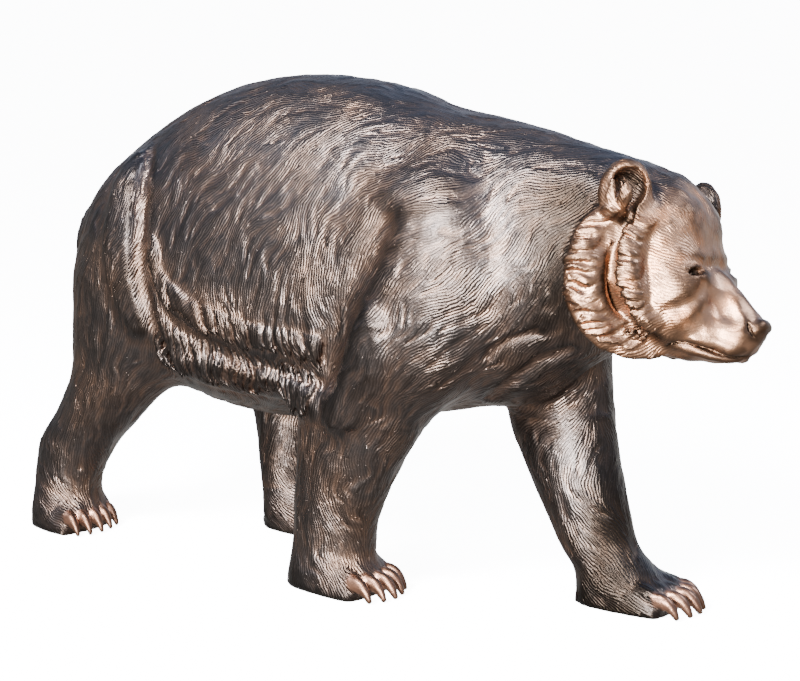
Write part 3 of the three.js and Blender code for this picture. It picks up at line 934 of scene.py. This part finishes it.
def thinned(name, points, faces, keep):
    """The surface with about as many triangles as are to be kept, the fewest where it is flat."""
    mesh = mesh_of(name, points, faces)
    rough = bpy.data.objects.new(name, mesh)
    bpy.context.scene.collection.objects.link(rough)
    thin = rough.modifiers.new("thin", "DECIMATE")
    thin.ratio = keep / (len(faces) * (faces.shape[1] - 2))
    thin.use_collapse_triangulate = True
    shape = rough.evaluated_get(bpy.context.evaluated_depsgraph_get()).to_mesh()
    kept = np.empty(len(shape.vertices) * 3, np.float32)
    shape.vertices.foreach_get("co", kept)
    corners = np.empty(len(shape.loops), np.int32)
    shape.loops.foreach_get("vertex_index", corners)
    rough.to_mesh_clear()
    bpy.data.objects.remove(rough)
    bpy.data.meshes.remove(mesh)
    return kept.reshape(-1, 3).astype(float), corners.reshape(-1, 3)


def worked_parts(points, body, head, claws):
    """How far each point belongs to the rubbed parts: the face with its ruffs, and the claws."""
    straight = head_straight(points)
    inside = well_inside(points, *HEAD_BLOCK)
    face = np.zeros(len(points))
    face[inside] = smoothstep(-3, 5, body.at(points[inside]) - head.at(points[inside]))
    top = straight[:, 0] - 2.0 * np.maximum(straight[:, 2] - 870, 0)
    front = smoothstep(610, 700, top + 20 * drift(points, 60, 4))
    for side in (RIGHT, LEFT):
        gap = straight - mirrored(EAR_CENTRES[side], side)
        ear = smoothstep(88, 70, np.linalg.norm(gap, axis=1))
        inner = smoothstep(4, -8, side * gap[:, 1] + 0.45 * gap[:, 0])
        root = front * ear * smoothstep(-30, -50, gap[:, 2])
        front = np.maximum(front * (1 - ear), ear * (1 - inner)) + root
    front = np.minimum(front, 1)
    face *= front
    horn = np.zeros(len(points))
    for block in claws:
        low, high = block.low * block.voxel, (block.low + block.shape) * block.voxel
        near = well_inside(points, low, high)
        horn[near] = np.maximum(horn[near], smoothstep(3.5, 1.0, block.at(points[near])))
    return face, horn


def thick_patina_and_painted_shade_of(points, head, face):
    """How far each point lies in the mouth, the nostrils, the eyes or the ears, or on the nose,
    where the patina is left thick; the upper part of each ear's hollow also carries painted shade,
    and the neck behind the ruffs a painted shadow."""
    shade = np.zeros(len(points))
    near = well_inside(points, *FACE_BLOCK)
    here = points[near]
    depth = np.zeros(len(here))
    for route, reach in head.grooves:
        for spot in route:
            depth = np.maximum(depth, np.exp(-((here - spot) ** 2).sum(1) / reach**2))
    nose = head_turn(np.array([NOSE[0]], float))[0] + [4, 0, 0]
    depth = np.maximum(depth, 0.45 * smoothstep(32, 22, np.linalg.norm(here - nose, axis=1)))
    for side in (RIGHT, LEFT):
        gap = here - head_turn(mirrored([EAR_CENTRES[side]], side))[0]
        ear = smoothstep(46, 32, np.linalg.norm(gap * [1, 0.8, 1], axis=1))
        ear *= smoothstep(26, 10, side * gap[:, 1])
        # Painted shade: the upper part of each ear's hollow is darkened further.
        upper = smoothstep(-30, 25, gap[:, 2] + 0.8 * gap[:, 0])
        depth = np.maximum(depth, ear * (0.35 + 0.5 * upper))
    shade[near] = depth
    # Painted shadow of the ruffs on the neck behind them, kept off the rubbed face.
    straight = head_straight(points)
    neck = smoothstep(500, 620, straight[:, 0]) * smoothstep(790, 700, straight[:, 0])
    neck *= smoothstep(60, 130, np.abs(straight[:, 1])) * smoothstep(1000, 900, straight[:, 2])
    return np.maximum(shade, 0.8 * neck * (1 - face))


def furriness(points, face, horn):
    """How deep the hair is tooled: least on the muzzle and around the eyes, none on the claws."""
    straight = head_straight(points)
    x, y, z = straight[:, 0], np.abs(straight[:, 1]), straight[:, 2]
    muzzle = smoothstep(885, 930, x + 0.35 * (760 - z))
    brow = smoothstep(800, 880, x)
    ruff = smoothstep(12, 30, y - 100) * smoothstep(820, 790, x)
    calm = np.maximum(0.93 * muzzle, np.maximum(0.3 + 0.1 * brow, 0.6 * ruff))
    return (1 - horn) * (1 - face * calm)


def cast_bear(voxel, relief):
    """The casting as an object in metres in the row frame, with what its bronze reads."""
    clay, body, head, claws = model_bear(voxel)
    points, quads = clay.skin()
    points = points.astype(float)
    normals = unit(smoothed(normals_of(points, quads), quads, 2))
    ways = comb(points, normals)
    face, horn = worked_parts(points, body, head, claws)
    fur = furriness(points, face, horn) * (1 - 0.6 * face)
    height = sum(row[4] * tufts(points, normals, ways, *row[:4]) for row in TUFTS)
    low_ground = smoothstep(0, 14, points[:, 2])
    beaten = face * (1 - horn) * (drift(points, 62, 5) + 0.5 * drift(points, 27, 6))
    raised = relief * (fur * low_ground * (height - 0.45) + 0.4 * beaten)
    points = points + normals * raised[:, None]
    points[:, 2] = np.maximum(points[:, 2], 0)
    points, faces = thinned("bear_rough", (points - DATUM) * MM, quads, TRIANGLES)
    points[:, 2] = np.maximum(points[:, 2], 0)
    mesh = mesh_of("bear_casting", points, faces)
    points = points / MM + DATUM
    normals = normals_of(points, faces)
    calm = unit(smoothed(normals, faces, 4))
    ways = comb(points, calm)
    face, horn = worked_parts(points, body, head, claws)
    marks = {
        "rubbed": face,
        "horn": horn,
        "furry": furriness(points, face, horn),
        "thick_patina_and_painted_shade": thick_patina_and_painted_shade_of(points, head, face),
    }
    # Fine and broad hollows of the skin: the bronze darkens in them, partly as thick patina and
    # partly as painted shade, and wears to copper on the ridges between.
    for name, rounds in HOLLOWS.items():
        marks[name] = ((smoothed(points, faces, rounds) - points) * calm).sum(1)
    across = mesh.attributes.new("across_hair", "FLOAT_VECTOR", "POINT")
    across.data.foreach_set("vector", np.cross(calm, ways).astype(np.float32).ravel())
    for name, values in marks.items():
        mark = mesh.attributes.new(name, "FLOAT", "POINT")
        mark.data.foreach_set("value", values.astype(np.float32))
    mesh.polygons.foreach_set("use_smooth", np.ones(len(mesh.polygons), bool))
    bear = bpy.data.objects.new("bear_casting", mesh)
    bpy.context.scene.collection.objects.link(bear)
    return bear


def patinated_bronze(settings):
    """Cast bronze, chased by hand, under a hot brown patina and wax. The patina is nearly black in
    the hollows, which are darkened further with painted shade, and the ears' hollows and the neck
    behind the ruffs carry painted shade and a painted shadow. The face and claws are rubbed back
    to copper, and wax makes the ridges glint."""
    material = bpy.data.materials.new("patinated_bronze")
    material.use_nodes = True
    tree = material.node_tree
    shader = tree.nodes["Principled BSDF"]
    place = node(tree, "ShaderNodeTexCoord").outputs["Object"]
    across = node(tree, "ShaderNodeAttribute", {"attribute_name": "across_hair"})
    marks = {
        name: node(tree, "ShaderNodeAttribute", {"attribute_name": name}).outputs["Fac"]
        for name in ("rubbed", "horn", "furry", "hollow", "broad_hollow", "thick_patina_and_painted_shade")
    }
    clouds = {
        name: node(tree, "ShaderNodeTexNoise", {}, {"Vector": place, **pattern}).outputs
        for name, pattern in {
            "stir": {"Scale": 34.0, "Detail": 2.0},
            "patches": {"Scale": 6.0, "Detail": 5.0, "Roughness": 0.6},
            "spots": {"Scale": 24.0, "Detail": 3.0},
            "grain": {"Scale": 160.0, "Detail": 2.0},
        }.items()
    }
    patches = clouds["patches"][0]
    # Each: what it reads, the low and high end of that, and what these become.
    spans = {
        "patchy": (patches, 0.36, 0.62, 0.3, 1.0),
        "warm": (patches, 0.38, 0.64, 0.0, 1.0),
        "dull": (patches, 0.3, 0.7, 0.31, 0.45),
        "orange": (clouds["spots"][0], 0.5, 0.68, 0.0, 0.7),
        "raised": (marks["hollow"], 0.5, -1.2, 0.0, 0.22),
        # Darkening of fine and broad hollows: partly thick patina, partly painted shade.
        "deep": (marks["hollow"], 0.0, 2.4, 0.0, 0.55),
        "broad": (marks["broad_hollow"], 2.0, 11.0, 0.0, 0.3),
    }
    spans = {
        name: node(tree, "ShaderNodeMapRange", {}, dict(enumerate(span))).outputs[0]
        for name, span in spans.items()
    }

    # Stripes across the hair, |cos(pi phase)|, on a place that a cloud pushes to and fro.
    maths, vectors = "ShaderNodeMath", "ShaderNodeVectorMath"
    centred = {0: clouds["stir"][1], 1: (0.5, 0.5, 0.5)}
    push = node(tree, vectors, {"operation": "SUBTRACT"}, centred).outputs[0]
    pushed = {0: push, 1: (STRAND_SWAY,) * 3, 2: place}
    wavy = node(tree, vectors, {"operation": "MULTIPLY_ADD"}, pushed).outputs[0]
    stripes = {
        "Vector": wavy,
        "Scale": 1 / (settings.strand * STRANDS_A_LOCK),
        "Frequency": STRANDS_A_LOCK,
        "Anisotropy": 1.0,
        "Orientation": across.outputs["Vector"],
    }
    phase = node(tree, "ShaderNodeTexGabor", {"gabor_type": "3D"}, stripes).outputs["Phase"]
    turn = node(tree, maths, {"operation": "MULTIPLY"}, {0: phase, 1: math.pi}).outputs[0]
    wave = node(tree, maths, {"operation": "COSINE"}, {0: turn}).outputs[0]
    combed = node(tree, maths, {"operation": "ABSOLUTE"}, {0: wave}).outputs[0]
    thin = node(tree, maths, {"operation": "POWER"}, {0: combed, 1: 1.8}).outputs[0]
    hair = node(tree, maths, {"operation": "MULTIPLY"}, {0: thin, 1: marks["furry"]}).outputs[0]
    hair = node(tree, maths, {"operation": "MULTIPLY"}, {0: hair, 1: spans["patchy"]}).outputs[0]
    rough = {0: clouds["grain"][0], 1: 0.5, 2: hair}
    height = node(tree, maths, {"operation": "MULTIPLY_ADD"}, rough).outputs[0]
    relief = {"Distance": STRAND_DEPTH, "Strength": 1.0, "Height": height}
    bump = node(tree, "ShaderNodeBump", {}, relief).outputs[0]
    # The troughs between the stripes take the hollows colour: partly patina in the tooled grooves,
    # partly painted shade.
    between = dict(enumerate((combed, 0.0, 1.0, 0.35, 0.0)))
    between = node(tree, "ShaderNodeMapRange", {}, between).outputs[0]
    between = {0: between, 1: marks["furry"]}
    groove = node(tree, maths, {"operation": "MULTIPLY"}, between).outputs[0]

    patina, patina_warm, hollows, copper, copper_warm, claw = (
        (*getattr(settings, name), 1.0)
        for name in ("patina", "patina_warm", "hollows", "copper", "copper_warm", "claw")
    )
    warm_copper = {"Factor": spans["orange"], 6: copper, 7: copper_warm}
    rubbed = node(tree, "ShaderNodeMix", {"data_type": "RGBA"}, warm_copper).outputs[2]
    colour = patina
    # The hollows colour goes into hollows, stripe troughs and the face's dark marks: partly thick
    # patina, partly painted shade, with a painted shadow on the neck.
    for amount, layer in (
        (spans["warm"], patina_warm),
        (marks["rubbed"], rubbed),
        (marks["horn"], claw),
        (spans["raised"], copper),
        (spans["deep"], hollows),
        (spans["broad"], hollows),
        (groove, hollows),
        (marks["thick_patina_and_painted_shade"], hollows),
    ):
        blend = {"Factor": amount, 6: colour, 7: layer}
        colour = node(tree, "ShaderNodeMix", {"data_type": "RGBA"}, blend).outputs[2]
    tree.links.new(colour, shader.inputs["Base Color"])
    tree.links.new(spans["dull"], shader.inputs["Roughness"])
    tree.links.new(bump, shader.inputs["Normal"])
    shader.inputs["Metallic"].default_value = 1.0
    return material


def studio_world():
    """A soft studio around the figure: pale walls, dimmer behind its tail, and cool overhead."""
    world = bpy.data.worlds.new("studio")
    bpy.context.scene.world = world
    world.use_nodes = True
    tree = world.node_tree
    place = node(tree, "ShaderNodeTexCoord").outputs["Generated"]
    parts = node(tree, "ShaderNodeSeparateXYZ", {}, {0: place}).outputs
    height = node(tree, "ShaderNodeMapRange", {}, {0: parts[2], 1: -1.0, 2: 1.0}).outputs[0]
    ramp = node(tree, "ShaderNodeValToRGB", {}, {0: height})
    stops = [
        (0.0, "#a3a19f"),
        (0.44, "#c4c2bf"),
        (0.5, "#dedddb"),
        (0.6, "#c6d0e4"),
        (0.8, "#98a8ca"),
        (1.0, "#90a8d6"),
    ]
    elements = ramp.color_ramp.elements
    while len(elements) < len(stops):
        elements.new(0.5)
    for element, (at, code) in zip(elements, stops):
        element.position = at
        element.color = (*srgb(code), 1.0)
    background = tree.nodes["Background"]
    tree.links.new(ramp.outputs[0], background.inputs["Color"])
    span = {0: parts[0], 1: -0.95, 2: -0.3, 3: 0.6, 4: 2.1}
    strength = node(tree, "ShaderNodeMapRange", {}, span).outputs[0]
    tree.links.new(strength, background.inputs["Strength"])


def softbox(name, place, size, power, aim, tint):
    """A square area light turned towards a point."""
    data = bpy.data.lights.new(name, "AREA")
    data.color = srgb(tint)
    data.size = size
    data.energy = power
    light = bpy.data.objects.new(name, data)
    light.location = place
    light.rotation_mode = "QUATERNION"
    light.rotation_quaternion = (Vector(aim) - Vector(place)).to_track_quat("-Z", "Y")
    bpy.context.scene.collection.objects.link(light)


def length_setting(name, description, default):
    """A property that holds a length in metres."""
    return bpy.props.FloatProperty(
        name=name, description=description, default=default, unit="LENGTH"
    )


def colour_setting(name, description, code):
    """A property that holds a colour, with a hex colour as its default."""
    return bpy.props.FloatVectorProperty(
        name=name, description=description, default=srgb(code), subtype="COLOR"
    )


class BearSettings(bpy.types.PropertyGroup):
    """Sizes and colours of the bronze bear."""

    voxel: length_setting("Clay grain", "Voxel of the clay that the figure is modelled in", 0.0035)
    relief: length_setting("Tuft height", "How far the tufts of fur stand up", 0.0034)
    strand: length_setting("Strand width", "Spacing of the tooled strands of hair", 0.0063)
    patina: colour_setting("Patina", "Cool brown of the patina", "#464140")
    patina_warm: colour_setting("Warm patina", "Redder brown of the patina", "#4b3e37")
    # Also the colour of painted shade in the hollows, ears and stripe troughs, and of the painted
    # shadow on the neck.
    hollows: colour_setting("Hollows", "Patina where it lies thick", "#17130f")
    copper: colour_setting("Copper", "Bronze of the rubbed face", "#84644f")
    copper_warm: colour_setting("Warm copper", "Redder spots of the face", "#9a6848")
    claw: colour_setting("Claws", "Bronze of the polished claws", "#97705c")


class OBJECT_OT_cast_bear(bpy.types.Operator):
    """Models the bear and casts it in bronze"""

    bl_idname = "bronze_bear.cast"
    bl_label = "Cast the bear"

    def execute(self, context):
        settings = context.scene.bronze_bear
        bear = cast_bear(settings.voxel / MM, settings.relief / MM)
        bear.data.materials.append(patinated_bronze(settings))
        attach(bear, "root")
        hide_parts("bear")
        return {"FINISHED"}


class OBJECT_OT_set_stage(bpy.types.Operator):
    """Sets the floor, the lights and the camera"""

    bl_idname = "bronze_bear.stage"
    bl_label = "Set the stage"

    def execute(self, context):
        corners = FLOOR_REACH * np.array([[-1, -1, 0], [1, -1, 0], [1, 1, 0], [-1, 1, 0]])
        mesh = mesh_of("floor", corners, np.array([[0, 1, 2, 3]]))
        floor = bpy.data.objects.new("floor", mesh)
        context.scene.collection.objects.link(floor)
        paint = bpy.data.materials.new("matt_floor_paint")
        paint.use_nodes = True
        shader = paint.node_tree.nodes["Principled BSDF"]
        for name, value in (
            ("Base Color", (*srgb("#fbfbfb"), 1.0)),
            ("Roughness", 0.9),
            ("Emission Color", (1.0, 1.0, 1.0, 1.0)),
            ("Emission Strength", 12.0),
        ):
            shader.inputs[name].default_value = value
        mesh.materials.append(paint)
        floor.visible_glossy = False
        studio_world()
        for name, row in SOFTBOXES.items():
            softbox(name, *row)
        data = bpy.data.cameras.new("camera")
        data.lens = CAMERA["lens"]
        camera = bpy.data.objects.new("camera", data)
        context.scene.collection.objects.link(camera)
        camera.location = Vector(CAMERA["place"]) - Vector(DATUM * MM)
        azimuth, dip = math.radians(CAMERA["azimuth"]), math.radians(CAMERA["dip"])
        level = Vector((-math.sin(azimuth), math.cos(azimuth), 0))
        way = level * math.cos(dip) - Vector((0, 0, math.sin(dip)))
        camera.rotation_mode = "QUATERNION"
        camera.rotation_quaternion = way.to_track_quat("-Z", "Y")
        context.scene.camera = camera
        return {"FINISHED"}


class VIEW3D_PT_bronze_bear(bpy.types.Panel):
    """Lists the steps that build the bear"""

    bl_label = "Bronze Bear"
    bl_space_type = "VIEW_3D"
    bl_region_type = "UI"
    bl_category = "Bronze Bear"

    def draw(self, context):
        for name in BearSettings.__annotations__:
            self.layout.prop(context.scene.bronze_bear, name)
        for step in STEPS:
            self.layout.operator(step.bl_idname)


STEPS = (OBJECT_OT_cast_bear, OBJECT_OT_set_stage)
CLASSES = (BearSettings, *STEPS, VIEW3D_PT_bronze_bear)


def register():
    for kind in CLASSES:
        bpy.utils.register_class(kind)
    bpy.types.Scene.bronze_bear = bpy.props.PointerProperty(type=BearSettings)


def unregister():
    del bpy.types.Scene.bronze_bear
    for kind in reversed(CLASSES):
        bpy.utils.unregister_class(kind)


def main():
    """Runs each step in order."""
    register()
    bpy.ops.bronze_bear.cast()
    bpy.ops.bronze_bear.stage()


if __name__ == "__main__":
    main()
